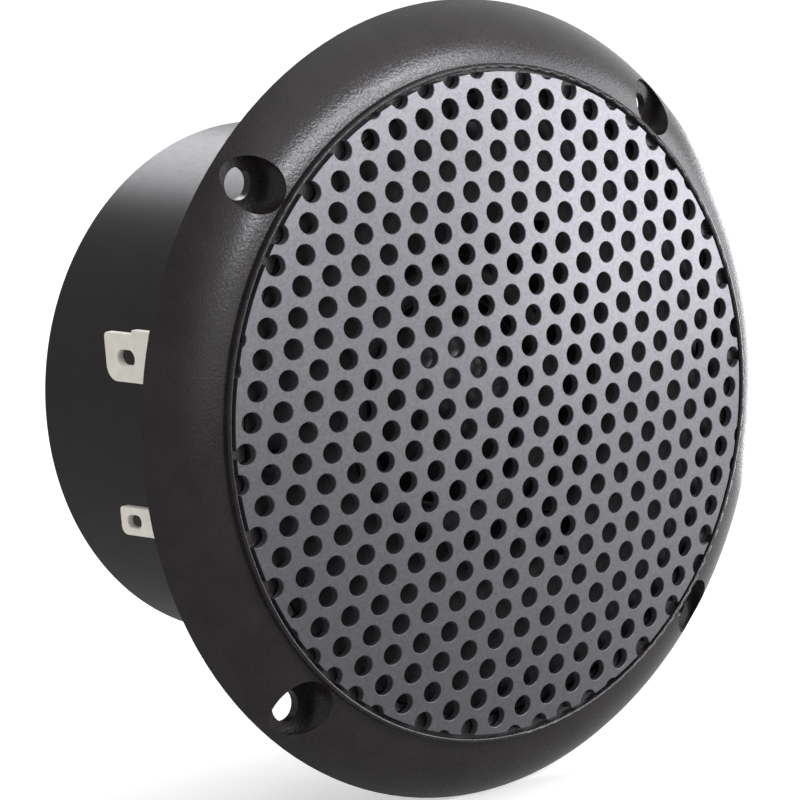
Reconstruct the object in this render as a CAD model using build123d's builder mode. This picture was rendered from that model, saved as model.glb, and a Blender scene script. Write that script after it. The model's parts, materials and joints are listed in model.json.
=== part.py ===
# Closed-back car tweeter: a flush flange with a domed grille, a dome driver and a rear can.
#
# The speaker's axis lies along Y and the grille faces -Y. Z is up. The origin is the centre of
# the flange's back face, which is the plane that rests on the panel. Every place along the axis
# is given as a distance in front of that plane, so places inside the can are negative.

from build123d import *

import os
from math import cos, radians, sin, sqrt

os.makedirs("parts", exist_ok=True)

# ---- planes ----------------------------------------------------------------------------------
face = Plane(origin=(0, 0, 0), x_dir=(1, 0, 0), z_dir=(0, -1, 0))  # normal points forwards
section = Plane(origin=(0, 0, 0), x_dir=(1, 0, 0), z_dir=(0, 0, -1))  # x is radius, y is forwards
side = Plane(origin=(0, 0, 0), x_dir=(0, 1, 0), z_dir=(-1, 0, 0))  # x is backwards, y is down


def spot(x, forward, z):
    """A point from its place across, in front of the mounting plane, and up."""
    return (x, -forward, z)


def turned_face(angle):
    """The face plane with its x axis turned by an angle, anticlockwise as seen from in front."""
    turned_x = (cos(radians(angle)), 0, sin(radians(angle)))
    return Plane(origin=(0, 0, 0), x_dir=turned_x, z_dir=(0, -1, 0))


# ---- driving dimensions (mm) -----------------------------------------------------------------
fit_gap = 0.05  # radial, between pieces that locate each other

flange_r = 39.1  # overall radius
flange_edge = 0.4  # straight edge at the flange's widest place
crown_width = 6.05  # from the flange's edge in to the lip
crown_height = 5.15  # flange front at the foot of the lip
crown_bulge = 0.78  # how far the crown's arc stands off its chord
lip_wall = 0.45
lip_height = 0.85  # lip above the crown
web_thickness = 2.4  # floor of the bezel, which carries the driver and the can
ledge_width = 2.0  # the grille's edge stands on this ledge

grille_gap = 0.25  # between the grille's edge and the lip
grille_sheet = 0.8
grille_rise = 3.8  # centre of the grille above its edge
hole_pitch = 3.0
hole_r = 1.03
hole_angle = -18.0  # turn of the perforation against the screw pattern

mount_screw_count = 4
mount_screw_angle = 45.0
mount_hole_r = 1.6
mount_recess_r = 2.74
mount_recess_floor = 1.0
mount_boss_wall = 1.3

plate_thickness = 1.6
plate_gap = 1.0  # gasket space between the bezel's floor and the driver plate
plate_clearance = 0.3
plate_screw_r = 1.1
plate_screw_count = 4
plate_boss_r = 2.3
gasket_width = 0.8

coil_r = 10.2  # outside of the voice-coil former
former_wall = 0.15
winding_thickness = 0.3
winding_height = 3.2
surround_width = 4.1  # from the coil to the throat
dome_height = 5.0
skin = 0.3  # dome and surround
pole_clearance = 0.45  # pole to former
gap_clearance = 0.35  # winding to top plate
magnet_r = 20.0
magnet_bore_wall = 1.65  # how far the magnet's bore stands back from the gap
magnet_thickness = 8.0
pole_plate_thickness = 3.0
motor_front = -3.0  # front face of the top plate
vent_r = 2.5
felt_thickness = 1.8
ring_thickness = 1.5  # diaphragm ring, between the driver plate's neck and the top plate

motor_screw_r = 1.0
motor_screw_count = 3
motor_screw_angle = 60.0
motor_head_r = 1.9
motor_head_height = 1.2
motor_head_seat = 1.0  # where the heads seat, in front of the mounting plane

can_r = 25.9
can_wall = 2.0
can_depth = 32.5  # back of the can behind the mounting plane
can_edge = 0.5
can_groove = 1.0
can_screw_r = 1.1
can_screw_count = 3
can_screw_angle = 15.0
can_screw_head_r = 2.0
can_screw_length = 8.0
can_boss_r = 2.2
can_boss_length = 9.0

tab_spacing = 16.2
tab_thickness = 0.8
tab_tip = -17.3  # rear end of both tabs
wide_tab = 4.8
narrow_tab = 2.8
board_thickness = 1.6
rivet_r = 1.1
rivet_head_r = 1.7
capacitor_r = 4.0
capacitor_length = 14.0
wire_r = 0.6

# ---- places that follow from them --------------------------------------------------------------
lip_out_r = flange_r - crown_width
lip_in_r = lip_out_r - lip_wall
lip_top = crown_height + lip_height
grille_r = lip_in_r - grille_gap
grille_edge = crown_height + grille_sheet + fit_gap
grille_crest = grille_edge + grille_rise
well_r = lip_in_r - ledge_width  # well in front of the bezel's floor, for the driver plate
plate_back = web_thickness + plate_gap
plate_front = plate_back + plate_thickness
neck_r = magnet_r - 0.5  # neck of the driver plate, behind the throat
neck_back = motor_front + ring_thickness
throat_r = coil_r + surround_width
web_hole_r = neck_r + plate_clearance
can_in_r = can_r - can_wall
can_back = -can_depth
can_floor = can_back + can_wall
pole_r = coil_r - former_wall - pole_clearance
gap_r = coil_r + winding_thickness + gap_clearance
yoke_r = magnet_r - 0.5
top_plate_back = motor_front - pole_plate_thickness
magnet_back = top_plate_back - magnet_thickness
yoke_back = magnet_back - pole_plate_thickness

mount_screws_at = {
    "radius": lip_out_r + mount_recess_r,  # the recesses touch the lip
    "count": mount_screw_count,
    "start_angle": mount_screw_angle,
}
plate_screws_at = {"radius": well_r - plate_boss_r - 0.5, "count": plate_screw_count}
can_screws_at = {
    "radius": can_in_r - 1.5,
    "count": can_screw_count,
    "start_angle": can_screw_angle,
}
motor_screws_at = {
    "radius": (throat_r + neck_r) / 2,
    "count": motor_screw_count,
    "start_angle": motor_screw_angle,
}

pad_face = can_r + 0.7  # flat that the terminal board lies on, this far from the axis
pocket_face = pad_face - can_wall
board_out = pad_face + board_thickness
tab_out = board_out + tab_thickness
rivet_place = -6.0
positive_height = tab_spacing / 2
negative_height = -tab_spacing / 2


def circles(radius, depth_start, depth, places, mode=Mode.ADD, taper=0.0):
    """Round bosses or holes at every place of a screw circle, from one depth along the axis."""
    with BuildSketch(face.offset(depth_start)) as rounds:
        with PolarLocations(**places):
            Circle(radius)
    extrude(rounds.sketch, amount=depth, taper=taper, mode=mode)


# ---- bezel -------------------------------------------------------------------------------------
channel_in_r = lip_out_r + 0.75
channel_out_r = flange_r - 2.4
channel_depth = 1.9
channel_rib = 1.2
channel_rib_count = 24
blind_floor = 0.8  # what is left under the plate screws' holes

crown_start = (flange_r, flange_edge)
crown_end = (lip_out_r, crown_height)
crown_run = sqrt((flange_r - lip_out_r) ** 2 + (crown_height - flange_edge) ** 2)
crown_middle = (
    (flange_r + lip_out_r) / 2 + crown_bulge * (crown_height - flange_edge) / crown_run,
    (crown_height + flange_edge) / 2 + crown_bulge * (flange_r - lip_out_r) / crown_run,
)
lip_round = lip_wall / 2

with BuildPart() as bezel:
    with BuildSketch(section):
        with BuildLine():
            Polyline((web_hole_r, 0), (flange_r - flange_edge, 0), crown_start)
            ThreePointArc(crown_start, crown_middle, crown_end)
            Line(crown_end, (lip_out_r, lip_top - lip_round))
            ThreePointArc(
                (lip_out_r, lip_top - lip_round),
                (lip_out_r - lip_round, lip_top),
                (lip_in_r, lip_top - lip_round),
            )
            Polyline(
                (lip_in_r, lip_top - lip_round),
                (lip_in_r, crown_height),
                (well_r, crown_height),
                (well_r, web_thickness),
                (web_hole_r, web_thickness),
                (web_hole_r, 0),
            )
        make_face()
    revolve(axis=Axis.Y)
    # bosses that the driver plate is screwed down to
    circles(plate_boss_r, web_thickness, plate_gap, plate_screws_at)
    circles(plate_screw_r + fit_gap, plate_back, blind_floor - plate_back, plate_screws_at, Mode.SUBTRACT)
    # groove that locates the can, and countersunk holes for its screws
    with BuildSketch(face):
        Circle(can_r + fit_gap)
        Circle(can_in_r - fit_gap, mode=Mode.SUBTRACT)
    extrude(amount=can_groove, mode=Mode.SUBTRACT)
    can_cone = can_screw_head_r - can_screw_r
    circles(can_screw_head_r + fit_gap, web_thickness, -can_cone, can_screws_at, Mode.SUBTRACT, 45)
    circles(can_screw_r + fit_gap, 0, web_thickness, can_screws_at, Mode.SUBTRACT)
    # ribbed channel that keeps the crown's wall even, left solid round each mounting screw
    with BuildSketch(face):
        Circle(channel_out_r)
        Circle(channel_in_r, mode=Mode.SUBTRACT)
        with PolarLocations(**mount_screws_at):
            Circle(mount_recess_r + mount_boss_wall, mode=Mode.SUBTRACT)
        with PolarLocations(mount_screws_at["radius"], channel_rib_count):
            Rectangle(2 * crown_width, channel_rib, mode=Mode.SUBTRACT)
    extrude(amount=channel_depth, mode=Mode.SUBTRACT)
    # mounting screw recesses and holes
    circles(mount_recess_r, mount_recess_floor, lip_top, mount_screws_at, Mode.SUBTRACT)
    circles(mount_hole_r, 0, mount_recess_floor, mount_screws_at, Mode.SUBTRACT)
bezel.part.label = "bezel"
export_step(bezel.part, "parts/bezel.step")


# ---- grille ------------------------------------------------------------------------------------
dome_sheet_r = (grille_r**2 + grille_rise**2) / (2 * grille_rise)  # outside radius of the sheet
sheet_centre = grille_crest - dome_sheet_r


def on_sheet(radius, inset):
    """The sheet's height at a radius: its outside at inset 0, its inside at one thickness."""
    return sheet_centre + sqrt((dome_sheet_r - inset) ** 2 - radius**2)


def hole_centres():
    """Columns one pitch apart, every second one shifted by half a pitch, out to the edge."""
    reach = int(grille_r / hole_pitch) + 2
    centres = []
    for column in range(-reach, reach + 1):
        shift = 0.5 * (column % 2)
        for row in range(-reach, reach + 1):
            x, y = column * hole_pitch, (row + shift) * hole_pitch
            if sqrt(x**2 + y**2) < grille_r + 0.6 * hole_r:
                centres.append((x, y))
    return centres


with BuildPart() as grille:
    with BuildSketch(section):
        with BuildLine():
            ThreePointArc(
                (0, grille_crest),
                (grille_r / 2, on_sheet(grille_r / 2, 0)),
                (grille_r, on_sheet(grille_r, 0)),
            )
            Line((grille_r, on_sheet(grille_r, 0)), (grille_r, on_sheet(grille_r, grille_sheet)))
            ThreePointArc(
                (grille_r, on_sheet(grille_r, grille_sheet)),
                (grille_r / 2, on_sheet(grille_r / 2, grille_sheet)),
                (0, grille_crest - grille_sheet),
            )
            Line((0, grille_crest - grille_sheet), (0, grille_crest))
        make_face()
    revolve(axis=Axis.Y)
    with BuildSketch(turned_face(hole_angle)):
        with Locations(*hole_centres()):
            Circle(hole_r)
    extrude(amount=grille_crest + 1, mode=Mode.SUBTRACT)
grille.part.label = "grille"
export_step(grille.part, "parts/grille.step")


# ---- front gasket, which clears the can screws' heads --------------------------------------------
gasket_in_r = can_screws_at["radius"] + can_screw_head_r + 0.2

with BuildPart() as front_gasket:
    with BuildSketch(face.offset(web_thickness)):
        Circle(gasket_in_r + gasket_width)
        Circle(gasket_in_r, mode=Mode.SUBTRACT)
    extrude(amount=plate_gap)
front_gasket.part.label = "front_gasket"
export_step(front_gasket.part, "parts/front_gasket.step")


# ---- driver plate, whose neck carries the motor --------------------------------------------------
plate_r = well_r - plate_clearance
horn_r = plate_front - neck_back  # rounding from the throat to the plate's front
horn_middle = (
    throat_r + horn_r * (1 - cos(radians(45))),
    neck_back + horn_r * sin(radians(45)),
)

with BuildPart() as front_plate:
    with BuildSketch(section):
        with BuildLine():
            ThreePointArc((throat_r, neck_back), horn_middle, (throat_r + horn_r, plate_front))
            Polyline(
                (throat_r + horn_r, plate_front),
                (plate_r, plate_front),
                (plate_r, plate_back),
                (neck_r, plate_back),
                (neck_r, neck_back),
                (throat_r, neck_back),
            )
        make_face()
    revolve(axis=Axis.Y)
    circles(2 * plate_screw_r + fit_gap, plate_front, -plate_screw_r, plate_screws_at, Mode.SUBTRACT, 45)
    circles(plate_screw_r + fit_gap, plate_back, plate_thickness, plate_screws_at, Mode.SUBTRACT)
    head_bore = plate_front - motor_head_seat
    circles(motor_head_r + 0.15, motor_head_seat, head_bore, motor_screws_at, Mode.SUBTRACT)
    shank_bore = motor_head_seat - neck_back
    circles(motor_screw_r + fit_gap, neck_back, shank_bore, motor_screws_at, Mode.SUBTRACT)
front_plate.part.label = "front_plate"
export_step(front_plate.part, "parts/front_plate.step")


# ---- diaphragm ring, tags and coil leads ---------------------------------------------------------
surround_step = motor_screws_at["radius"] - motor_screw_r - 0.15  # the surround lies inside this
tag_angles = (150.0, 210.0)  # one each side of the terminals
tag_width = 2.2
tag_thickness = 0.3
tag_front = motor_front + 0.8
tag_back = tag_front - tag_thickness
tag_in_r = throat_r + 0.4
tag_out_r = magnet_r + 2.2
notch_width = tag_width + 0.4
lead_width = 1.0
lead_thickness = 0.15
lead_in_r = coil_r + fit_gap
lead_out_r = tag_in_r + 1.6


def radial_strips(inner, outer, width, back, thickness, mode=Mode.ADD):
    """A flat strip along the radius at each tag's angle."""
    for angle in tag_angles:
        with BuildSketch(turned_face(angle).offset(back)) as strip:
            with Locations(((inner + outer) / 2, 0)):
                Rectangle(outer - inner, width)
        extrude(strip.sketch, amount=thickness, mode=mode)


with BuildPart() as diaphragm_ring:
    with BuildSketch(face.offset(motor_front)):
        Circle(neck_r)
        Circle(throat_r - skin, mode=Mode.SUBTRACT)
        with PolarLocations(**motor_screws_at):
            Circle(motor_screw_r + fit_gap, mode=Mode.SUBTRACT)
    extrude(amount=ring_thickness)
    with BuildSketch(face.offset(neck_back)):
        Circle(surround_step)
    extrude(amount=-skin, mode=Mode.SUBTRACT)
    radial_strips(throat_r - 1, neck_r + 1, notch_width, tag_back, ring_thickness, Mode.SUBTRACT)
diaphragm_ring.part.label = "diaphragm_ring"
export_step(diaphragm_ring.part, "parts/diaphragm_ring.step")

with BuildPart() as coil_tags:
    radial_strips(tag_in_r, tag_out_r, tag_width, tag_back, tag_thickness)
coil_tags.part.label = "coil_tags"
export_step(coil_tags.part, "parts/coil_tags.step")

with BuildPart() as coil_leads:
    radial_strips(lead_in_r, lead_out_r, lead_width, tag_front, lead_thickness)
coil_leads.part.label = "coil_leads"
export_step(coil_leads.part, "parts/coil_leads.step")


# ---- dome, surround and voice coil ----------------------------------------------------------------
dome_base = neck_back - 0.05  # front end of the voice-coil former
dome_top = dome_base + dome_height
dome_out_r = (coil_r**2 + dome_height**2) / (2 * dome_height)
dome_in_r = dome_out_r - skin
dome_centre = dome_top - dome_out_r
dome_foot_r = sqrt(dome_in_r**2 - (dome_base - dome_centre) ** 2)
dome_out_middle = (coil_r / 2, dome_centre + sqrt(dome_out_r**2 - (coil_r / 2) ** 2))
dome_in_middle = (coil_r / 2, dome_centre + sqrt(dome_in_r**2 - (coil_r / 2) ** 2))

with BuildPart() as dome:
    with BuildSketch(section):
        with BuildLine():
            ThreePointArc((coil_r, dome_base), dome_out_middle, (0, dome_top))
            Line((0, dome_top), (0, dome_top - skin))
            ThreePointArc((0, dome_top - skin), dome_in_middle, (dome_foot_r, dome_base))
            Line((dome_foot_r, dome_base), (coil_r, dome_base))
        make_face()
    revolve(axis=Axis.Y)
dome.part.label = "dome"
export_step(dome.part, "parts/dome.step")

surround_in_r = coil_r + fit_gap
surround_out_r = surround_step - fit_gap
surround_back = neck_back - skin
roll_in_r = coil_r + skin
roll_out_r = throat_r - skin
roll_r = (roll_out_r - roll_in_r) / 2
roll_centre = roll_in_r + roll_r

with BuildPart() as surround:
    with BuildSketch(section):
        with BuildLine():
            Polyline((surround_in_r, surround_back), (surround_in_r, neck_back), (roll_in_r, neck_back))
            ThreePointArc((roll_in_r, neck_back), (roll_centre, neck_back + roll_r), (roll_out_r, neck_back))
            Polyline(
                (roll_out_r, neck_back),
                (surround_out_r, neck_back),
                (surround_out_r, surround_back),
                (roll_out_r - skin, surround_back),
            )
            ThreePointArc(
                (roll_out_r - skin, surround_back),
                (roll_centre, surround_back + roll_r),
                (roll_in_r + skin, surround_back),
            )
            Line((roll_in_r + skin, surround_back), (surround_in_r, surround_back))
        make_face()
    revolve(axis=Axis.Y)
surround.part.label = "surround"
export_step(surround.part, "parts/surround.step")

winding_front = (motor_front + top_plate_back + winding_height) / 2
winding_back = winding_front - winding_height
former_back = winding_back - 0.4

with BuildPart() as voice_coil_former:
    with BuildSketch(face.offset(former_back)):
        Circle(coil_r)
        Circle(coil_r - former_wall, mode=Mode.SUBTRACT)
    extrude(amount=dome_base - former_back)
voice_coil_former.part.label = "voice_coil_former"
export_step(voice_coil_former.part, "parts/voice_coil_former.step")

with BuildPart() as voice_coil_winding:
    with BuildSketch(face.offset(winding_back)):
        Circle(coil_r + winding_thickness)
        Circle(coil_r, mode=Mode.SUBTRACT)
    extrude(amount=winding_height)
voice_coil_winding.part.label = "voice_coil_winding"
export_step(voice_coil_winding.part, "parts/voice_coil_winding.step")


# ---- motor -----------------------------------------------------------------------------------------
with BuildPart() as top_plate:
    with BuildSketch(face.offset(top_plate_back)):
        Circle(magnet_r)
        Circle(gap_r, mode=Mode.SUBTRACT)
        with PolarLocations(**motor_screws_at):
            Circle(motor_screw_r + fit_gap, mode=Mode.SUBTRACT)
    extrude(amount=pole_plate_thickness)
top_plate.part.label = "top_plate"
export_step(top_plate.part, "parts/top_plate.step")

with BuildPart() as magnet:
    with BuildSketch(face.offset(magnet_back)):
        Circle(magnet_r)
        Circle(gap_r + magnet_bore_wall, mode=Mode.SUBTRACT)
    extrude(amount=magnet_thickness)
magnet.part.label = "magnet"
export_step(magnet.part, "parts/magnet.step")

with BuildPart() as pole_yoke:
    with BuildSketch(face.offset(yoke_back)):
        Circle(yoke_r)
    extrude(amount=pole_plate_thickness)
    with BuildSketch(face.offset(magnet_back)):
        Circle(pole_r)
    extrude(amount=motor_front - magnet_back)
    with BuildSketch(face.offset(yoke_back)):
        Circle(vent_r)
    extrude(amount=motor_front - yoke_back, mode=Mode.SUBTRACT)
pole_yoke.part.label = "pole_yoke"
export_step(pole_yoke.part, "parts/pole_yoke.step")

with BuildPart() as pole_felt:
    with BuildSketch(face.offset(motor_front)):
        Circle(pole_r - 1.2)
        Circle(vent_r + 0.5, mode=Mode.SUBTRACT)
    extrude(amount=felt_thickness)
pole_felt.part.label = "pole_felt"
export_step(pole_felt.part, "parts/pole_felt.step")


# ---- rear can --------------------------------------------------------------------------------------
pad_half_width = positive_height + 4.3
pad_front = -0.6
pad_back = -11.0
pad_length = pad_front - pad_back
pocket_margin = 2.0
pad_inside = can_in_r - 6  # the pad's block starts this deep, and the can's bore cuts it back

with BuildPart() as rear_can:
    with BuildSketch(section):
        Polygon(
            (0, can_back),
            (can_r, can_back),
            (can_r, can_groove - fit_gap),
            (can_in_r, can_groove - fit_gap),
            (can_in_r, can_floor),
            (0, can_floor),
            align=None,
        )
    revolve(axis=Axis.Y)
    fillet(rear_can.edges().filter_by(GeomType.CIRCLE).sort_by(Axis.Y)[-1], can_edge)
    # flat pad for the terminal board, hollowed behind so that its wall stays even
    with BuildSketch(face.offset(pad_back)):
        with Locations((-(pad_face + pad_inside) / 2, 0)):
            Rectangle(pad_face - pad_inside, 2 * pad_half_width)
    extrude(amount=pad_length)
    with BuildSketch(face.offset(pad_back)):
        Circle(can_in_r)
    extrude(amount=pad_length, mode=Mode.SUBTRACT)
    with BuildSketch(face.offset(pad_back + pocket_margin)):
        with Locations((-pocket_face / 2, 0)):
            Rectangle(pocket_face, 2 * (pad_half_width - pocket_margin))
    extrude(amount=pad_length - pocket_margin, mode=Mode.SUBTRACT)
    # screw bosses along the wall
    circles(can_boss_r, 0, -can_boss_length, can_screws_at)
    circles(can_screw_r + fit_gap, 0, -can_screw_length, can_screws_at, Mode.SUBTRACT)
    # rivet holes through the pad
    with BuildSketch(side.offset(pocket_face - 1)):
        with Locations((-rivet_place, -positive_height), (-rivet_place, -negative_height)):
            Circle(rivet_r + fit_gap)
    extrude(amount=can_wall + 1, mode=Mode.SUBTRACT)
rear_can.part.label = "rear_can"
export_step(rear_can.part, "parts/rear_can.step")


# ---- terminals ---------------------------------------------------------------------------------------
board_margin = 0.6
tab_root = -2.6
foot_end = -9.4
foot_width = 5.2
shoulder_place = tab_tip + 4.4
rivet_head = 0.4
rivet_tail = 0.5

with BuildPart() as terminal_board:
    with BuildSketch(side.offset(pad_face)):
        with Locations((-(pad_front + pad_back) / 2, 0)):
            RectangleRounded(pad_length - 2 * board_margin, 2 * (pad_half_width - board_margin), 0.8)
        with Locations((-rivet_place, -positive_height), (-rivet_place, -negative_height)):
            Circle(rivet_r + fit_gap, mode=Mode.SUBTRACT)
    extrude(amount=board_thickness)
terminal_board.part.label = "terminal_board"
export_step(terminal_board.part, "parts/terminal_board.step")


def make_tab(height, width, shoulder, eye, upper_round, lower_round):
    """A flat solder tab: a riveted foot, a shoulder above, and a blade with an eye near its tip."""
    eye_length, eye_width, eye_from_tip = eye
    with BuildPart() as tab:
        with BuildSketch(side.offset(board_out)) as outline:
            with Locations((-(tab_root + tab_tip) / 2, -height)):
                Rectangle(tab_root - tab_tip, width)
            fillet(outline.vertices().sort_by(lambda corner: corner.X - corner.Y)[-1], upper_round)
            fillet(outline.vertices().sort_by(lambda corner: corner.X + corner.Y)[-1], lower_round)
            with Locations((-(tab_root + shoulder_place) / 2, -height - shoulder / 2)):
                Rectangle(tab_root - shoulder_place, width + shoulder)
            with Locations((-(tab_root + foot_end) / 2, -height)):
                Rectangle(tab_root - foot_end, foot_width)
            with Locations((-(tab_tip + eye_from_tip), -height)):
                SlotOverall(eye_length, eye_width, mode=Mode.SUBTRACT)
            with Locations((-rivet_place, -height)):
                Circle(rivet_r + fit_gap, mode=Mode.SUBTRACT)
        extrude(amount=tab_thickness)
    return tab.part


positive_tab = make_tab(positive_height, wide_tab, 0.4, (2.7, 1.6, 3.2), 0.5, 1.5)
positive_tab.label = "positive_tab"
export_step(positive_tab, "parts/positive_tab.step")

negative_tab = make_tab(negative_height, narrow_tab, 0.0, (2.2, 1.3, 2.1), 0.4, 0.9)
negative_tab.label = "negative_tab"
export_step(negative_tab, "parts/negative_tab.step")

with BuildPart() as terminal_rivets:
    for height in (positive_height, negative_height):
        with BuildSketch(side.offset(tab_out)):
            with Locations((-rivet_place, -height)):
                Circle(rivet_head_r)
        extrude(amount=rivet_head)
        with BuildSketch(side.offset(pocket_face)):
            with Locations((-rivet_place, -height)):
                Circle(rivet_r)
        extrude(amount=tab_out - pocket_face)
        with BuildSketch(side.offset(pocket_face)):
            with Locations((-rivet_place, -height)):
                Circle(rivet_head_r)
        extrude(amount=-rivet_tail)
terminal_rivets.part.label = "terminal_rivets"
export_step(terminal_rivets.part, "parts/terminal_rivets.step")


# ---- capacitor, glued to the yoke's back, and the foam that fills the space behind it ------------------
capacitor_x = -4.0
capacitor_forward = yoke_back - capacitor_r
capacitor_edge = 0.6
capacitor_lead_r = 0.35
capacitor_lead = 3.0
foam_front = capacitor_forward - capacitor_r - 1.5
upright = Plane(origin=spot(capacitor_x, capacitor_forward, 0), x_dir=(1, 0, 0), z_dir=(0, 0, 1))

with BuildPart() as capacitor:
    with BuildSketch(upright.offset(-capacitor_length / 2)):
        Circle(capacitor_r)
    extrude(amount=capacitor_length)
    fillet(capacitor.edges().filter_by(GeomType.CIRCLE), capacitor_edge)
capacitor.part.label = "capacitor"
export_step(capacitor.part, "parts/capacitor.step")

with BuildPart() as capacitor_leads:
    for end in (-1, 1):
        with BuildSketch(upright.offset(end * capacitor_length / 2)):
            Circle(capacitor_lead_r)
        extrude(amount=end * capacitor_lead)
capacitor_leads.part.label = "capacitor_leads"
export_step(capacitor_leads.part, "parts/capacitor_leads.step")

with BuildPart() as damping_foam:
    with BuildSketch(face.offset(can_floor)):
        Circle(can_in_r - 0.3)
    extrude(amount=foam_front - can_floor)
damping_foam.part.label = "damping_foam"
export_step(damping_foam.part, "parts/damping_foam.step")


# ---- wires ---------------------------------------------------------------------------------------------
lead_end = capacitor_length / 2 + capacitor_lead
lead_loop = lead_end + 4.5
rivet_tail_x = rivet_tail - pocket_face
rivet_lane_x = rivet_tail_x + 3.1
return_depth = rivet_place - 5.0
tag_end_r = tag_out_r - wire_r - 0.2
upper_tag, lower_tag = ((tag_end_r * cos(radians(a)), tag_end_r * sin(radians(a))) for a in tag_angles)


def make_wire(points, bends):
    """A round insulated wire along straight runs, with one bend radius for each corner."""
    with BuildPart() as wire:
        with BuildLine():
            route = FilletPolyline(*points, radius=bends)
        with BuildSketch(Plane(origin=route @ 0, z_dir=route % 0)):
            Circle(wire_r)
        sweep(path=route)
    return wire.part


# from the positive rivet, back beside the motor, to the capacitor's lower lead
supply_wire = make_wire(
    [
        spot(rivet_tail_x, rivet_place, positive_height),
        spot(rivet_lane_x, rivet_place, positive_height),
        spot(rivet_lane_x, capacitor_forward, positive_height),
        spot(capacitor_x - 13, capacitor_forward, -lead_end),
        spot(capacitor_x, capacitor_forward, -lead_loop),
        spot(capacitor_x, capacitor_forward, -lead_end),
    ],
    [2.9, 6.0, 6.0, 3.0],
)
supply_wire.label = "supply_wire"
export_step(supply_wire, "parts/supply_wire.step")

# from the capacitor's upper lead, forwards beside the motor, to the upper coil tag
filter_wire = make_wire(
    [
        spot(capacitor_x, capacitor_forward, lead_end),
        spot(capacitor_x, capacitor_forward, lead_loop),
        spot(upper_tag[0], capacitor_forward, upper_tag[1]),
        spot(upper_tag[0], tag_back, upper_tag[1]),
    ],
    [3.3, 6.0],
)
filter_wire.label = "filter_wire"
export_step(filter_wire, "parts/filter_wire.step")

# from the lower coil tag, in a short loop, to the negative rivet
return_wire = make_wire(
    [
        spot(lower_tag[0], tag_back, lower_tag[1]),
        spot(lower_tag[0], return_depth, lower_tag[1]),
        spot(rivet_lane_x, return_depth, negative_height),
        spot(rivet_lane_x, rivet_place, negative_height),
        spot(rivet_tail_x, rivet_place, negative_height),
    ],
    [1.7, 1.7, 2.9],
)
return_wire.label = "return_wire"
export_step(return_wire, "parts/return_wire.step")


# ---- screws, each group in one piece ---------------------------------------------------------------------
cross_width = 0.5
cross_depth = 0.6
screw_end_gap = 0.5  # between a screw's end and the bottom of its hole


def cross_recesses(length, front, places):
    """Cut a cross into every screw head."""
    with BuildSketch(face.offset(front)) as crosses:
        with PolarLocations(**places):
            Rectangle(length, cross_width)
            Rectangle(cross_width, length)
    extrude(crosses.sketch, amount=-cross_depth, mode=Mode.SUBTRACT)


with BuildPart() as plate_screws:
    circles(2 * plate_screw_r, plate_front, -plate_screw_r, plate_screws_at, taper=45)
    circles(plate_screw_r, plate_front, blind_floor + 0.2 - plate_front, plate_screws_at)
    cross_recesses(2.4 * plate_screw_r, plate_front, plate_screws_at)
plate_screws.part.label = "plate_screws"
export_step(plate_screws.part, "parts/plate_screws.step")

with BuildPart() as can_screws:
    circles(can_screw_head_r, web_thickness, -can_cone, can_screws_at, taper=45)
    shank_length = web_thickness + can_screw_length - screw_end_gap
    circles(can_screw_r, web_thickness, -shank_length, can_screws_at)
    cross_recesses(1.2 * can_screw_head_r, web_thickness, can_screws_at)
can_screws.part.label = "can_screws"
export_step(can_screws.part, "parts/can_screws.step")

with BuildPart() as motor_screws:
    circles(motor_head_r, motor_head_seat, motor_head_height, motor_screws_at)
    shank_length = motor_head_seat - top_plate_back - screw_end_gap
    circles(motor_screw_r, motor_head_seat, -shank_length, motor_screws_at)
    cross_recesses(1.2 * motor_head_r, motor_head_seat + motor_head_height, motor_screws_at)
motor_screws.part.label = "motor_screws"
export_step(motor_screws.part, "parts/motor_screws.step")
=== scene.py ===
# %% [markdown]
# # A closed-back car tweeter
# The speaker is a moulded flange with a domed, perforated grille in front, a plastic can behind
# and two solder tabs on the can's side. Behind the grille sit a small dome, its coil and motor.
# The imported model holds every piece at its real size. This script gives the pieces their looks:
# it models the surfaces that are seen more finely, and gives every piece its finish.

# %% Load the frame
import json
from math import cos, pi, radians, sin, sqrt

import bmesh
import bpy
from mathutils import Matrix, Vector


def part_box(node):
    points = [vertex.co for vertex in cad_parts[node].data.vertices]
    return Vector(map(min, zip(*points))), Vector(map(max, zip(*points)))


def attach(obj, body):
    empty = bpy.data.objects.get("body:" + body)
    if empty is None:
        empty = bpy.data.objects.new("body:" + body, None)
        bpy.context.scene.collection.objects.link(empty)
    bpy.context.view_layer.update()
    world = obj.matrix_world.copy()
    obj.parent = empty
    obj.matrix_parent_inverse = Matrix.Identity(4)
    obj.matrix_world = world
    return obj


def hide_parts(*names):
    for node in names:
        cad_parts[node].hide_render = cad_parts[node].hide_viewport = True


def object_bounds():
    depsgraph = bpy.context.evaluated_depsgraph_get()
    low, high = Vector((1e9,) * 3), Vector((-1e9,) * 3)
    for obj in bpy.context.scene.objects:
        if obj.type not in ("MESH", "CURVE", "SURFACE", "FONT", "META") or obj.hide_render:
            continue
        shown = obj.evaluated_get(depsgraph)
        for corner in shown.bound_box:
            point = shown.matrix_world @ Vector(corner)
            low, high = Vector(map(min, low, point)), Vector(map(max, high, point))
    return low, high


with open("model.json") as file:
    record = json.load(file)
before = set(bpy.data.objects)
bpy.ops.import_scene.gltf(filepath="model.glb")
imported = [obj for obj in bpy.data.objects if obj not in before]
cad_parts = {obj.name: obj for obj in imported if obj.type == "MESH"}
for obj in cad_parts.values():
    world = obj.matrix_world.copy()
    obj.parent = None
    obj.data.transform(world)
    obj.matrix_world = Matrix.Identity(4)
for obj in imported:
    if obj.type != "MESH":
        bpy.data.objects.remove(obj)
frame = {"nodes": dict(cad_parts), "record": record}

MM = 0.001
cad_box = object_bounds()
nodes = frame["nodes"]
slot_of = {row["node"]: row["material_slot"] for row in frame["record"]["subparts"]}
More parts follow.
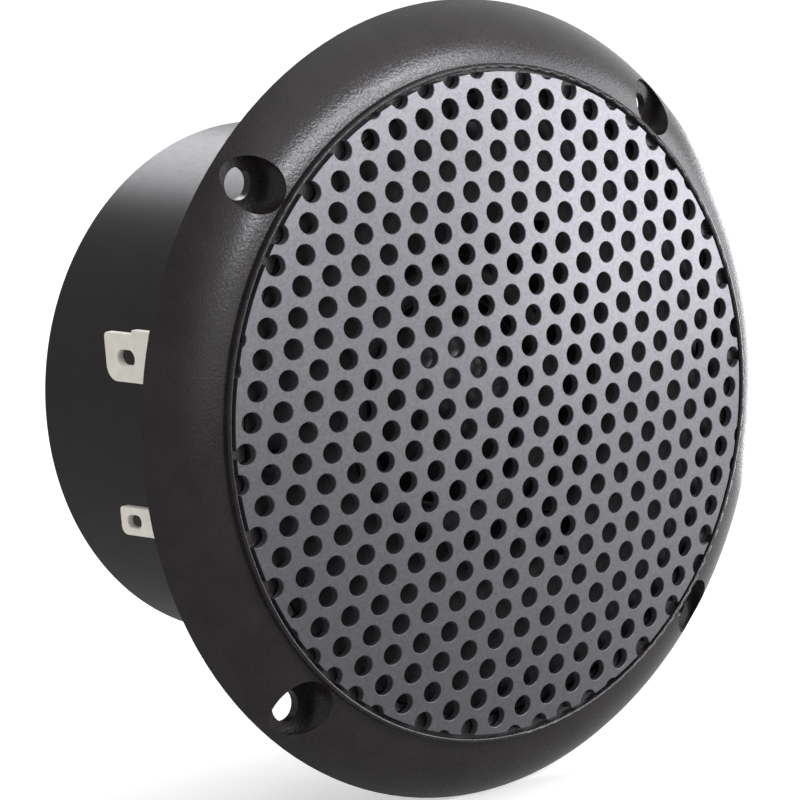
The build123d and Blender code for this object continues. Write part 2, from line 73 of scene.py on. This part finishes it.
overall = [round((high - low) / MM, 2) for low, high in zip(*cad_box)]
print(f"{len(nodes)} nodes, {overall} mm overall")

# %% [markdown]
# ## Camera
# The speaker stands on its rim and is seen from its left and a little above. A long lens keeps
# the flange's ellipse almost free of perspective. The camera is rolled a few degrees, because the
# screws are not level in the view. It is placed by its angles round an aim point, which is easier
# to change than a position and three turns.

# %% Camera
AIM = Vector((-11.9, -6.0, 2.5)) * MM
AIM_DISTANCE = 0.6196  # metres
AZIMUTH, ELEVATION, ROLL = -39.4, 9.66, -4.98  # degrees
LENS = 291.1  # mm
NEAREST = 0.01  # metres; what is closer to the camera isn't drawn


def direction(azimuth, elevation):
    """The direction from the object to a point round it: azimuth 0 is in front, 90 is at +X."""
    a, e = radians(azimuth), radians(elevation)
    return Vector((sin(a) * cos(e), -cos(a) * cos(e), sin(e)))


def deselect():
    """Leave edit mode and select nothing, so that an operator acts only on what comes next."""
    if bpy.context.object and bpy.context.object.mode != "OBJECT":
        bpy.ops.object.mode_set(mode="OBJECT")
    bpy.ops.object.select_all(action="DESELECT")


deselect()
bpy.ops.object.camera_add(location=AIM + direction(AZIMUTH, ELEVATION) * AIM_DISTANCE)
camera = bpy.context.object
camera.name = "camera"
turn = Matrix.Rotation(radians(AZIMUTH), 3, "Z") @ Matrix.Rotation(radians(90 - ELEVATION), 3, "X")
camera.rotation_euler = (turn @ Matrix.Rotation(radians(ROLL), 3, "Z")).to_euler()
camera.data.lens = LENS
camera.data.clip_start = NEAREST
bpy.context.scene.camera = camera
print("camera at", [round(value, 4) for value in camera.location])

# %% [markdown]
# ## Helpers for materials
# A material here is a small graph of nodes. One function adds a node, sets it up and links it, so
# that each material below reads as a list of what it is made of. Colours are written as screen
# hex values, and one function turns them to the linear values that the shader works in. Most of
# the speaker's surfaces differ only in their colours, grain and polish, so one graph serves them:
# a grain that shifts the roughness and lifts the surface, and a slow drift between two tones.

# %% Nodes and colours


def colour(code):
    """A screen colour such as "#1c1b1d" as linear red, green, blue and alpha."""
    values = [int(code[i : i + 2], 16) / 255 for i in (1, 3, 5)]
    return [v / 12.92 if v <= 0.04045 else ((v + 0.055) / 1.055) ** 2.4 for v in values] + [1.0]


def add(tree, kind, inputs=None, **settings):
    """A new node with its settings. An input is a value, or a node or socket to link."""
    node = tree.nodes.new("ShaderNode" + kind)
    for name, value in settings.items():
        setattr(node, name, value)
    for name, value in (inputs or {}).items():
        if isinstance(value, bpy.types.Node):
            value = next(socket for socket in value.outputs if socket.enabled)
        if isinstance(value, bpy.types.NodeSocket):
            tree.links.new(value, node.inputs[name])
        else:
            node.inputs[name].default_value = value
    return node


def start_material(name):
    """An empty material, its tree, and each point's place on the piece in metres."""
    made = bpy.data.materials.new(name)
    made.use_nodes = True
    made.node_tree.nodes.clear()
    place = add(made.node_tree, "TexCoord").outputs["Object"]
    return made, made.node_tree, place


print("a screen's mid grey is", round(colour("#808080")[0], 3), "in linear light")

# %% The shared graph
USUAL_RANGE = {"From Min": 0.3, "From Max": 0.7}  # nearly all of a noise's values lie in here


def per_metre(size_mm):
    """A noise or cell scale whose features are about that large."""
    return 1 / (size_mm * MM)


def bands_per_metre(spacing_mm):
    """A wave scale that repeats at that spacing: the wave node runs 20 radians for each unit."""
    return 2 * pi / (20 * spacing_mm * MM)


def dress(tree, pattern, tones, drift, roughness, mottle, depth_mm, **sockets):
    """Tones by the drift, and roughness and relief by the pattern, on one shader."""
    rough_range = {**USUAL_RANGE, "To Min": roughness - mottle, "To Max": roughness + mottle}
    rough = add(tree, "MapRange", {"Value": pattern, **rough_range})
    share = add(tree, "MapRange", {"Value": drift, **USUAL_RANGE})
    low, high = (colour(tone) for tone in tones)
    tone = add(tree, "Mix", {"Factor": share, "A": low, "B": high}, data_type="RGBA")
    relief = add(tree, "Bump", {"Height": pattern, "Distance": depth_mm * MM})
    inputs = {"Base Color": tone, "Roughness": rough, "Normal": relief, **sockets}
    add(tree, "OutputMaterial", {"Surface": add(tree, "BsdfPrincipled", inputs)})


def grained(name, tones, roughness, mottle, grain_mm, depth_mm, drift_mm=3.0, **sockets):
    """A finish with an even, fine grain, such as a moulding, paint or plating."""
    made, tree, place = start_material(name)
    grain = add(tree, "TexNoise", {"Vector": place, "Scale": per_metre(grain_mm), "Detail": 3.0})
    drift = add(tree, "TexNoise", {"Vector": place, "Scale": per_metre(drift_mm), "Detail": 2.0})
    dress(tree, grain, tones, drift, roughness, mottle, depth_mm, **sockets)
    return made


print("a grain of 0.25 mm has a noise scale of", round(per_metre(0.25)))

# %% [markdown]
# ## Mouldings and paint
# The flange is black ABS from a mould whose face was spark-eroded. That leaves shallow pits of
# about a quarter of a millimetre: up close the surface sparkles and mottles, and from afar it is
# satin. The can is the same ABS from a polished mould, so its highlight is even and unbroken. The
# driver's plate behind the grille is matt black, so that it doesn't shine through the holes, and
# its tone is painted much darker than the other black ABS: painted shade for the dim inside behind
# the grille. The grille is steel with a satin graphite enamel, which holds metal flakes: it mirrors
# the light softly, so it is pale where it faces the lamp and the walls of its holes stay dark. The
# flakes themselves are too fine to see, so their mottle is drawn coarser, at a sixth of a
# millimetre.

# %% Mouldings and paint
PLASTIC_IOR = 1.53  # ABS

flange_abs = grained(
    "spark_eroded_black_abs", ("#1d191b", "#242022"),
    roughness=0.24, mottle=0.09, grain_mm=0.26, depth_mm=0.028, IOR=PLASTIC_IOR,
)
can_abs = grained(
    "polished_mould_black_abs", ("#1b1718", "#1e1a1b"),
    roughness=0.34, mottle=0.03, grain_mm=0.6, depth_mm=0.003, IOR=PLASTIC_IOR,
)
# Black ABS whose tone is painted far darker than the flange's and the can's: painted shade for the
# dim inside behind the grille.
driver_abs_with_painted_shade = grained(
    "matt_black_abs_with_painted_shade", ("#070708", "#0b0b0c"),
    roughness=0.7, mottle=0.05, grain_mm=0.4, depth_mm=0.006, IOR=PLASTIC_IOR,
)
grille_enamel = grained(
    "satin_graphite_enamel", ("#757579", "#828286"),
    roughness=0.33, mottle=0.06, grain_mm=0.16, depth_mm=0.008, drift_mm=0.35, Metallic=0.8,
)
print("mouldings and paint:", [m.name for m in (flange_abs, can_abs, driver_abs_with_painted_shade, grille_enamel)])

# %% [markdown]
# ## Metals
# Metals keep the shader's own IOR, and their colour is in the base colour. Tin on brass is warm
# white and soft. Zinc on the motor's steel is cooler and a little blotchy, because the bath dries
# unevenly. Black zinc on the screws is nearly a dark paint. The capacitor's leads are bright
# tinned wire. Enamelled copper shows each turn of the winding, so it gets bands a wire's width
# apart, along the coil's axis.

# %% Metals
tinned_brass = grained(
    "tinned_brass", ("#ece8dd", "#f6f3e9"),
    roughness=0.42, mottle=0.06, grain_mm=0.5, depth_mm=0.003, drift_mm=1.5, Metallic=0.25,
)
zinc_plate = grained(
    "zinc_plated_steel", ("#a4a8ac", "#b6b9bb"),
    roughness=0.32, mottle=0.08, grain_mm=0.7, depth_mm=0.003, drift_mm=2.5, Metallic=1.0,
)
black_zinc = grained(
    "black_zinc_plated_steel", ("#262628", "#313134"),
    roughness=0.4, mottle=0.06, grain_mm=0.4, depth_mm=0.003, Metallic=0.8,
)
tinned_wire = grained(
    "tinned_copper_wire", ("#b4b2ae", "#c6c4bf"),
    roughness=0.3, mottle=0.05, grain_mm=0.3, depth_mm=0.002, Metallic=1.0,
)
WIRE_SPACING = 0.16  # mm, one turn of the winding
WIRE_DRIFT = 1.5  # mm


def wound_wire(name, tones):
    """Enamelled copper wire wound side by side."""
    made, tree, place = start_material(name)
    scale = bands_per_metre(WIRE_SPACING)
    turns = add(tree, "TexWave", {"Vector": place, "Scale": scale}, bands_direction="Y")
    drift = add(tree, "TexNoise", {"Vector": place, "Scale": per_metre(WIRE_DRIFT)})
    dress(tree, turns, tones, drift, roughness=0.3, mottle=0.05, depth_mm=0.03, Metallic=1.0)
    return made


enamelled_copper = wound_wire("enamelled_copper_wire", ("#b0643a", "#c57a48"))
print("metals:", [m.name for m in (tinned_brass, zinc_plate, black_zinc, tinned_wire)])
print("winding:", enamelled_copper.name, "with a turn every", WIRE_SPACING, "mm")

# %% [markdown]
# ## The driver's smooth materials
# The dome is pressed from thin black film and shines. The coil's former is amber polyimide film,
# which is glossy too. The magnet is ground ferrite, matt and nearly black. The terminal board is
# brown paper laminate with a low sheen, the capacitor has a glossy blue sleeve, and the wires are
# insulated with PVC, which has a soft shine. Felt is a mat of fibres and throws back almost no
# highlight. A fine grain serves them all, with a depth and a polish for each.

# %% The driver's smooth materials
dome_film = grained(
    "pressed_black_film", ("#09090a", "#0e0e10"),
    roughness=0.24, mottle=0.03, grain_mm=0.8, depth_mm=0.004, IOR=1.5,
)
coil_former_film = grained(
    "amber_polyimide_film", ("#9a5a16", "#b06d20"),
    roughness=0.2, mottle=0.03, grain_mm=0.6, depth_mm=0.002,
)
ground_ferrite = grained(
    "ground_ferrite", ("#232324", "#2e2e2f"),
    roughness=0.55, mottle=0.08, grain_mm=0.35, depth_mm=0.01,
)
paper_laminate = grained(
    "paper_phenolic_laminate", ("#5a3318", "#6b4022"),
    roughness=0.42, mottle=0.06, grain_mm=0.5, depth_mm=0.006,
)
shrink_sleeve = grained(
    "blue_shrink_sleeve", ("#16203f", "#1c284b"),
    roughness=0.25, mottle=0.04, grain_mm=0.8, depth_mm=0.004,
)
red_insulation = grained(
    "red_pvc_insulation", ("#8e1512", "#a01b17"),
    roughness=0.4, mottle=0.05, grain_mm=0.4, depth_mm=0.005,
)
black_insulation = grained(
    "black_pvc_insulation", ("#151516", "#1b1b1c"),
    roughness=0.4, mottle=0.05, grain_mm=0.4, depth_mm=0.005,
)
wool_felt = grained(
    "wool_felt", ("#5d5a54", "#716d66"),
    roughness=0.95, mottle=0.04, grain_mm=0.2, depth_mm=0.12, drift_mm=1.2,
)
print("materials so far:", len(bpy.data.materials))

# %% [markdown]
# ## Cloth and foam
# The surround under the dome's edge is cloth, woven from threads a quarter of a millimetre apart
# and coated so that it holds air: two crossed waves make the weave. The foam in the can has open
# cells, and the gasket's are small and closed. A cell pattern gives both their relief, and the
# same pattern paints their tone lighter on the walls between the cells and darker in the cells'
# middles: a painted highlight on the walls and painted shade in the hollows.

# %% Cloth and foam
THREAD_SPACING = 0.25  # mm


def coated_cloth(name, tones):
    """Cloth woven both ways, across the speaker and up it, under a thin coat."""
    made, tree, place = start_material(name)
    scale = bands_per_metre(THREAD_SPACING)
    across = add(tree, "TexWave", {"Vector": place, "Scale": scale}, bands_direction="X")
    up = add(tree, "TexWave", {"Vector": place, "Scale": scale}, bands_direction="Z")
    weave = add(tree, "Math", {0: across, 1: up}, operation="MULTIPLY")
    dress(tree, weave, tones, weave, roughness=0.55, mottle=0.1, depth_mm=0.04)
    return made


def celled_foam(name, tones, cell_mm, depth_mm):
    """Foam: round cells with thin walls between them."""
    made, tree, place = start_material(name)
    cells = add(tree, "TexVoronoi", {"Vector": place, "Scale": per_metre(cell_mm)})
    # The cells give real relief, and the same distance sets the tone: painted highlight on the
    # walls, painted shade in the cells' middles.
    dress(tree, cells, tones, cells, roughness=0.9, mottle=0.05, depth_mm=depth_mm)
    return made


surround_cloth = coated_cloth("coated_woven_cloth", ("#08080a", "#111113"))
open_foam = celled_foam("open_cell_foam", ("#1b1b1d", "#303033"), cell_mm=0.7, depth_mm=0.25)
gasket_foam = celled_foam("closed_cell_foam", ("#101010", "#1a1a1a"), cell_mm=0.3, depth_mm=0.05)
print("cloth and foam:", surround_cloth.name, open_foam.name, gasket_foam.name)

# %% [markdown]
# ## Handing out the finishes
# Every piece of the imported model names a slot, such as "can_plastic". The pieces that are made
# of the same stuff share a slot, so one table from slot to finish covers them all.

# %% Handing out the finishes
finish_of = {
    "bezel_plastic": flange_abs,
    "grille_paint": grille_enamel,
    "can_plastic": can_abs,
    "plate_plastic": driver_abs_with_painted_shade,
    "gasket_foam": gasket_foam,
    "dome_film": dome_film,
    "surround_cloth": surround_cloth,
    "former_film": coil_former_film,
    "coil_copper": enamelled_copper,
    "motor_steel": zinc_plate,
    "magnet_ferrite": ground_ferrite,
    "felt": wool_felt,
    "foam": open_foam,
    "board_laminate": paper_laminate,
    "tab_tin": tinned_brass,
    "capacitor_sleeve": shrink_sleeve,
    "lead_tin": tinned_wire,
    "wire_red": red_insulation,
    "wire_black": black_insulation,
    "screw_steel": black_zinc,
}
for name, node in nodes.items():
    node.data.materials.clear()
    node.data.materials.append(finish_of[slot_of[name]])
print(len(finish_of), "finishes on", len(nodes), "nodes")

# %% [markdown]
# ## Helpers for modelling
# Mesh operators work on whatever is selected, so each step first picks its piece. Seams are
# closed by joining points that lie on each other. A finished piece takes the finish that the
# imported piece's slot names, goes on a body, and hides the imported piece that it stands for.

# %% Helpers for modelling
TOUCHING = 0.001 * MM  # points closer than this are one point


def pick(*pieces):
    """Select just these pieces and make the last one active."""
    deselect()
    for piece in pieces:
        piece.select_set(True)
    bpy.context.view_layer.objects.active = pieces[-1]


def edit(piece):
    """Edit mode on one piece, with all of it selected."""
    pick(piece)
    bpy.ops.object.mode_set(mode="EDIT")
    bpy.ops.mesh.select_all(action="SELECT")


def merge_doubles(piece, distance=TOUCHING):
    """Join points that lie on each other."""
    edit(piece)
    bpy.ops.mesh.remove_doubles(threshold=distance)
    bpy.ops.object.mode_set(mode="OBJECT")


def smooth(piece, angle=35):
    """Smooth shading: edges sharper than the angle stay crisp, and large faces stay flat."""
    pick(piece)
    bpy.ops.object.shade_smooth_by_angle(angle=radians(angle))
    modifier = piece.modifiers.new("flat faces", "WEIGHTED_NORMAL")
    modifier.keep_sharp = True
    bpy.ops.object.modifier_apply(modifier=modifier.name)


def give(piece, node, body="housing"):
    """Finish a piece that stands for a CAD node: its material by the node's slot, and its body."""
    slot = slot_of[node]
    piece.data.materials.clear()
    piece.data.materials.append(finish_of[slot])
    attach(piece, body)
    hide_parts(node)
    spans = zip(*piece.bound_box)
    extent = [round((max(span) - min(span)) / MM, 2) for span in spans]
    print(f"{piece.name}: {len(piece.data.polygons)} faces, {extent} mm")


print("points join within", round(TOUCHING / MM, 4), "mm")

# %% [markdown]
# ## Grille
# Perforated sheet is one pattern repeated: columns of round holes, every second column shifted by
# half a pitch. One square cell holds one hole. Its border has its points a quarter pitch apart, so
# a cell fits its neighbours even where they are shifted by half a pitch. The cell is a ring drawn
# up the hole's wall, opened a little where the hole's edge is broken, and pulled out to a square
# at both faces. A Boolean cut of hundreds of holes would leave a much heavier and rougher mesh.

# %% One cell of the sheet
PITCH = 3.0 * MM
HOLE_R = 1.03 * MM
SHEET = 0.8 * MM
HOLE_BREAK = 0.06 * MM  # how far the hole's edge is broken on the punched side
ROUND_POINTS = 16


def chosen(mesh_object, test):
    """In edit mode, select just the vertices that pass a test of their place."""
    bm = bmesh.from_edit_mesh(mesh_object.data)
    bpy.ops.mesh.select_all(action="DESELECT")
    for vertex in bm.verts:
        vertex.select_set(bool(test(vertex.co)))
    bm.select_flush_mode()
    bmesh.update_edit_mesh(mesh_object.data)


def pull_square(piece):
    """In edit mode, extrude the selected ring and move its points out to the cell's border."""
    bpy.ops.mesh.extrude_edges_move()
    bm = bmesh.from_edit_mesh(piece.data)
    for vertex in bm.verts:
        if vertex.select:
            reach = max(abs(vertex.co.x), abs(vertex.co.y))
            vertex.co.x = round(2 * vertex.co.x / reach) * PITCH / 4
            vertex.co.y = round(2 * vertex.co.y / reach) * PITCH / 4
    bmesh.update_edit_mesh(piece.data)


deselect()
bpy.ops.mesh.primitive_circle_add(vertices=ROUND_POINTS, radius=HOLE_R, location=(0, 0, -SHEET))
cell = bpy.context.object
cell.name = "grille_sheet"
bpy.ops.object.transform_apply()
edit(cell)
radius_now, height_now = HOLE_R, -SHEET
for radius, height in [(HOLE_R, -HOLE_BREAK), (HOLE_R + HOLE_BREAK, 0)]:
    bpy.ops.mesh.extrude_edges_move(TRANSFORM_OT_translate={"value": (0, 0, height - height_now)})
    scale = radius / radius_now
    bpy.ops.transform.resize(value=(scale, scale, 1), center_override=(0, 0, height))
    radius_now, height_now = radius, height
pull_square(cell)
chosen(cell, lambda co: co.z < -SHEET / 2)
pull_square(cell)
bpy.ops.object.mode_set(mode="OBJECT")
front_area = sum(face.area for face in cell.data.polygons if face.center.z > -TOUCHING)
print("cell:", len(cell.data.polygons), "faces, front face", round(front_area / MM**2, 2), "mm2")

# %% [markdown]
# ## The flat sheet
# An Array modifier repeats the cell up one column. A copy of the column, half a pitch higher, is
# joined to its side, and a second Array repeats the pair across. The sheet is then moved so that
# a hole is in the middle, and turned, because the real one's columns aren't upright either.

# %% The flat sheet
HOLE_ANGLE = -18.0  # degrees, the turn of the columns in the flange
cad_low, cad_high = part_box("grille")
GRILLE_R = (cad_high.x - cad_low.x) / 2
GRILLE_CREST = -cad_low.y
half_rows = int(GRILLE_R / PITCH) + 2


def repeat(piece, step, count):
    """Repeat a piece along a step with the Array modifier, joined where copies touch."""
    modifier = piece.modifiers.new("repeat", "ARRAY")
    modifier.use_relative_offset = False
    modifier.use_constant_offset = True
    modifier.constant_offset_displace = step
    modifier.count = count
    modifier.use_merge_vertices = True
    modifier.merge_threshold = TOUCHING
    bpy.context.view_layer.objects.active = piece
    bpy.ops.object.modifier_apply(modifier=modifier.name)


repeat(cell, (0, PITCH, 0), 2 * half_rows + 1)
pick(cell)
bpy.ops.object.duplicate()
shifted = bpy.context.object
shifted.data.transform(Matrix.Translation((PITCH, PITCH / 2, 0)))
pick(shifted, cell)
bpy.ops.object.join()
merge_doubles(cell)
columns = half_rows + 1
repeat(cell, (2 * PITCH, 0, 0), columns)
middle_column = columns - columns % 2  # the whole columns run over the grille's centre
cell.data.transform(Matrix.Translation((-middle_column * PITCH, -half_rows * PITCH, 0)))
cell.data.transform(Matrix.Rotation(radians(HOLE_ANGLE), 4, "Z"))
print("flat sheet:", len(cell.data.polygons), "faces")

# %% [markdown]
# ## Trimming the sheet
# The real sheet is sheared round, right through its outer holes. Bisect does that here, once for
# each side of a fine polygon, and the cut faces are filled so that the sheet stays closed.

# %% Trimming the sheet
TRIM_SIDES = 120
TRIM_START = 0.3  # of a side, so that no cut runs along a row of points
TRIM_R = GRILLE_R - 0.1 * MM  # the sheared edge is rolled under, so the face ends a little inside
NEAR = 0.0001 * MM  # at its default distance, the cut would move points by up to 0.1 mm

edit(cell)
chosen(cell, lambda co: Vector((co.x, co.y)).length > GRILLE_R + PITCH)
bpy.ops.mesh.delete(type="VERT")
for step in range(TRIM_SIDES):
    angle = 2 * pi * (step + TRIM_START) / TRIM_SIDES
    outwards = Vector((cos(angle), sin(angle), 0))
    bpy.ops.mesh.select_all(action="SELECT")
    bpy.ops.mesh.bisect(
        plane_co=outwards * TRIM_R, plane_no=outwards, clear_outer=True, threshold=NEAR
    )
bpy.ops.mesh.select_all(action="SELECT")
bpy.ops.mesh.delete_loose(use_verts=True, use_edges=True, use_faces=False)
bpy.ops.mesh.select_all(action="SELECT")
bpy.ops.mesh.fill_holes(sides=0)
bpy.ops.object.mode_set(mode="OBJECT")
print("trimmed sheet:", len(cell.data.polygons), "faces, radius", round(TRIM_R / MM, 2), "mm")

# %% [markdown]
# ## Pressing the dome
# The round sheet is pressed in a shallow tool that is part of a ball. Each point moves back by
# the ball's drop at its distance from the axis, and the sheet turns from lying flat to facing
# forwards. The operators so far don't promise which side of a face is out, so the normals are
# recalculated at the end.

# %% Pressing the dome
GRILLE_RISE = 3.8 * MM  # how far the grille's middle stands in front of its edge
dome_r = (GRILLE_R**2 + GRILLE_RISE**2) / (2 * GRILLE_RISE)

for vertex in cell.data.vertices:
    radius = Vector((vertex.co.x, vertex.co.y)).length
    drop = dome_r - sqrt(dome_r**2 - radius**2)
    forward = GRILLE_CREST - drop + vertex.co.z
    vertex.co = (vertex.co.x, -forward, vertex.co.y)
cell.data.update()
edit(cell)
bpy.ops.mesh.normals_make_consistent(inside=False)
bpy.ops.object.mode_set(mode="OBJECT")
smooth(cell)
give(cell, "grille")

# %% [markdown]
# ## Pieces with softened edges
# No moulded or punched edge is perfectly sharp: it has a radius of about a tenth of a millimetre,
# and the thin line of light along it is what makes it look real. The flange's roundings are part
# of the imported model, so it is shown as it is. The can, the tabs and their board have sharp edges
# there. Each is copied, its loose triangles are merged, its flat faces are cleaned to large
# faces, and a Bevel modifier rounds every edge that turns more than 50 degrees. Drawing the edges
# by hand would be slower and would give the same shape.

# %% Pieces with softened edges
EDGE_RADII = {  # mm
    "rear_can": 0.15,
    "positive_tab": 0.08,
    "negative_tab": 0.08,
    "terminal_board": 0.08,
}
CAD_TOUCHING = 0.0005 * MM
FLAT = radians(0.5)  # faces that turn less than this become one
CREASE = radians(50)
ROUNDING_STEPS = 2


def softened(node_name, radius_mm):
    """A copy of a CAD node with its sharp edges rounded."""
    deselect()
    piece = nodes[node_name].copy()
    piece.data = piece.data.copy()
    piece.name = node_name + "_softened"
    for key in list(piece.keys()):
        if key.startswith("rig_"):
            del piece[key]
    place = piece.matrix_world.copy()
    bpy.context.collection.objects.link(piece)
    piece.parent = None
    piece.matrix_world = Matrix()
    piece.data.transform(place)
    merge_doubles(piece, CAD_TOUCHING)
    edit(piece)
    bpy.ops.mesh.dissolve_limited(angle_limit=FLAT)
    bpy.ops.object.mode_set(mode="OBJECT")
    modifier = piece.modifiers.new("edges", "BEVEL")
    modifier.width = radius_mm * MM
    modifier.segments = ROUNDING_STEPS
    modifier.limit_method = "ANGLE"
    modifier.angle_limit = CREASE
    modifier.use_clamp_overlap = True
    bpy.ops.object.modifier_apply(modifier=modifier.name)
    smooth(piece, angle=40)
    give(piece, node_name)


for node_name, radius_mm in EDGE_RADII.items():
    softened(node_name, radius_mm)

# %% [markdown]
# ## Floor
# The speaker stands on its rim, so the floor is at the rim's lowest point. The floor is white
# paper. It is so wide that its far edge is lost in the white behind it. Seen directly it also
# glows a little, which lifts the lit paper to white but leaves the shadow. In reflections it is
# white at the right and dark at the left, as if a black card lay beside the speaker: a black
# object with white paper all round it would look grey.

# %% Floor
WHITE = colour("#ffffff")
FLOOR_SIZE = 6.0  # metres
FLOOR_GLOW = 0.35
PAPER_ROUGHNESS = 0.9
CARD_LEVEL = 0.28  # how bright a dark card is in reflections, where 1 is white
FLOOR_CARD = (-0.02, 0.12)  # metres to the right, where the card ends and the paper is full white


def kinds_of_ray(tree):
    """Two masks: rays straight from the camera, and rays by way of a glossy or clear surface."""
    rays = add(tree, "LightPath").outputs
    by_way = {0: rays["Is Glossy Ray"], 1: rays["Is Transmission Ray"]}
    return rays["Is Camera Ray"], add(tree, "Math", by_way, operation="MAXIMUM")


deselect()
bpy.ops.mesh.primitive_grid_add(x_subdivisions=4, y_subdivisions=4, size=FLOOR_SIZE)
floor = bpy.context.object
floor.name = "floor"
floor.data.transform(Matrix.Translation((0, 0, cad_box[0][2])))
paper, tree, place = start_material("white_studio_paper")
seen, bounced = kinds_of_ray(tree)
fibre = add(tree, "TexNoise", {"Vector": place, "Scale": per_metre(2.0)})
papers = {"Factor": fibre, "A": colour("#ececeb"), "B": colour("#f0f0ef")}
tone = add(tree, "Mix", papers, data_type="RGBA")
glow = add(tree, "Math", {0: seen, 1: FLOOR_GLOW}, operation="MULTIPLY")
lit_paper = {"Base Color": tone, "Roughness": PAPER_ROUGHNESS}
lit_paper.update({"Emission Color": WHITE, "Emission Strength": glow})
lit = add(tree, "BsdfPrincipled", lit_paper)
across = add(tree, "SeparateXYZ", {"Vector": place}).outputs["X"]
card_range = {"From Min": FLOOR_CARD[0], "From Max": FLOOR_CARD[1]}
card_range.update({"Value": across, "To Min": CARD_LEVEL, "To Max": 1.0})
mirrored = add(tree, "MapRange", card_range, interpolation_type="SMOOTHSTEP")
mirrored = add(tree, "Emission", {"Strength": mirrored})
look = add(tree, "MixShader", {0: bounced, 1: lit, 2: mirrored})
add(tree, "OutputMaterial", {"Surface": look})
floor.data.materials.append(paper)
print("floor at", round(cad_box[0][2] / MM, 2), "mm")

# %% [markdown]
# ## Lamps
# A large soft box stands near the speaker at its right: it whitens the grille from that side. A
# wide strip above and in front draws the bright band on the crown beside the lip. A small box
# close by, at the right, brightens the flange's far edge, and one behind runs along the top of
# the can.

# %% Lamps
# Angles in degrees, distances and sizes in metres, and powers in watts.
KEY = {"azimuth": 62, "elevation": 0, "distance": 0.34, "size": (0.26, 0.26), "power": 0.76}
FRONT = {"azimuth": 20, "elevation": 28, "distance": 0.7, "size": (0.6, 0.12), "power": 2.9}
SIDE = {"azimuth": 104, "elevation": -4, "distance": 0.125, "size": (0.06, 0.058), "power": 0.055}
BACK = {"azimuth": 158, "elevation": 34, "distance": 0.6, "size": (0.26, 0.26), "power": 0.75}
LAMP_TINT = (0.96, 0.95, 1.0)


def soft_box(name, azimuth, elevation, distance, size, power):
    """A rectangular area lamp that faces the speaker."""
    deselect()
    facing = direction(azimuth, elevation)
    bpy.ops.object.light_add(type="AREA", location=facing * distance)
    lamp = bpy.context.object
    lamp.name = name
    lamp.rotation_euler = facing.to_track_quat("Z", "Y").to_euler()
    lamp.data.color = LAMP_TINT
    lamp.data.shape = "RECTANGLE"
    lamp.data.size, lamp.data.size_y = size
    lamp.data.energy = power
    print(f"{name}: {size} m, {power} W")


soft_box("key_box", **KEY)
soft_box("front_box", **FRONT)
soft_box("side_box", **SIDE)
soft_box("back_box", **BACK)

# %% [markdown]
# ## Room
# The room is white to the camera and to reflections, except for a dark card at the left, which
# keeps the left edge of a black object from washing out. The light that it sheds on the speaker
# is a little less than white, so that with the lamps a colour comes out about as it is written.

# %% Room
AMBIENT = 0.78
CARD_SIDE = direction(-115, -5)
CARD_EDGES = (-0.35, 0.35)  # how directly a ray points at the card, where it starts and is full

room = bpy.data.worlds.new("white_room")
bpy.context.scene.world = room
room.use_nodes = True
tree = room.node_tree
tree.nodes.clear()
seen, bounced = kinds_of_ray(tree)
towards = add(tree, "TexCoord").outputs["Generated"]
at_card = add(tree, "VectorMath", {0: towards, 1: CARD_SIDE}, operation="DOT_PRODUCT")
card_range = {"From Min": CARD_EDGES[0], "From Max": CARD_EDGES[1]}
card_range.update({"Value": at_card.outputs["Value"], "To Min": 1.0, "To Max": CARD_LEVEL})
mirrored = add(tree, "MapRange", card_range, interpolation_type="SMOOTHSTEP")
level = add(tree, "Mix", {"Factor": bounced, "A": AMBIENT, "B": mirrored})
level = add(tree, "Mix", {"Factor": seen, "A": level, "B": 1.0})
glow = add(tree, "Background", {"Color": WHITE, "Strength": level})
add(tree, "OutputWorld", {"Surface": glow})
bpy.context.scene.view_settings.view_transform = "Standard"
print("room: ambient level", AMBIENT, "and card level", CARD_LEVEL)
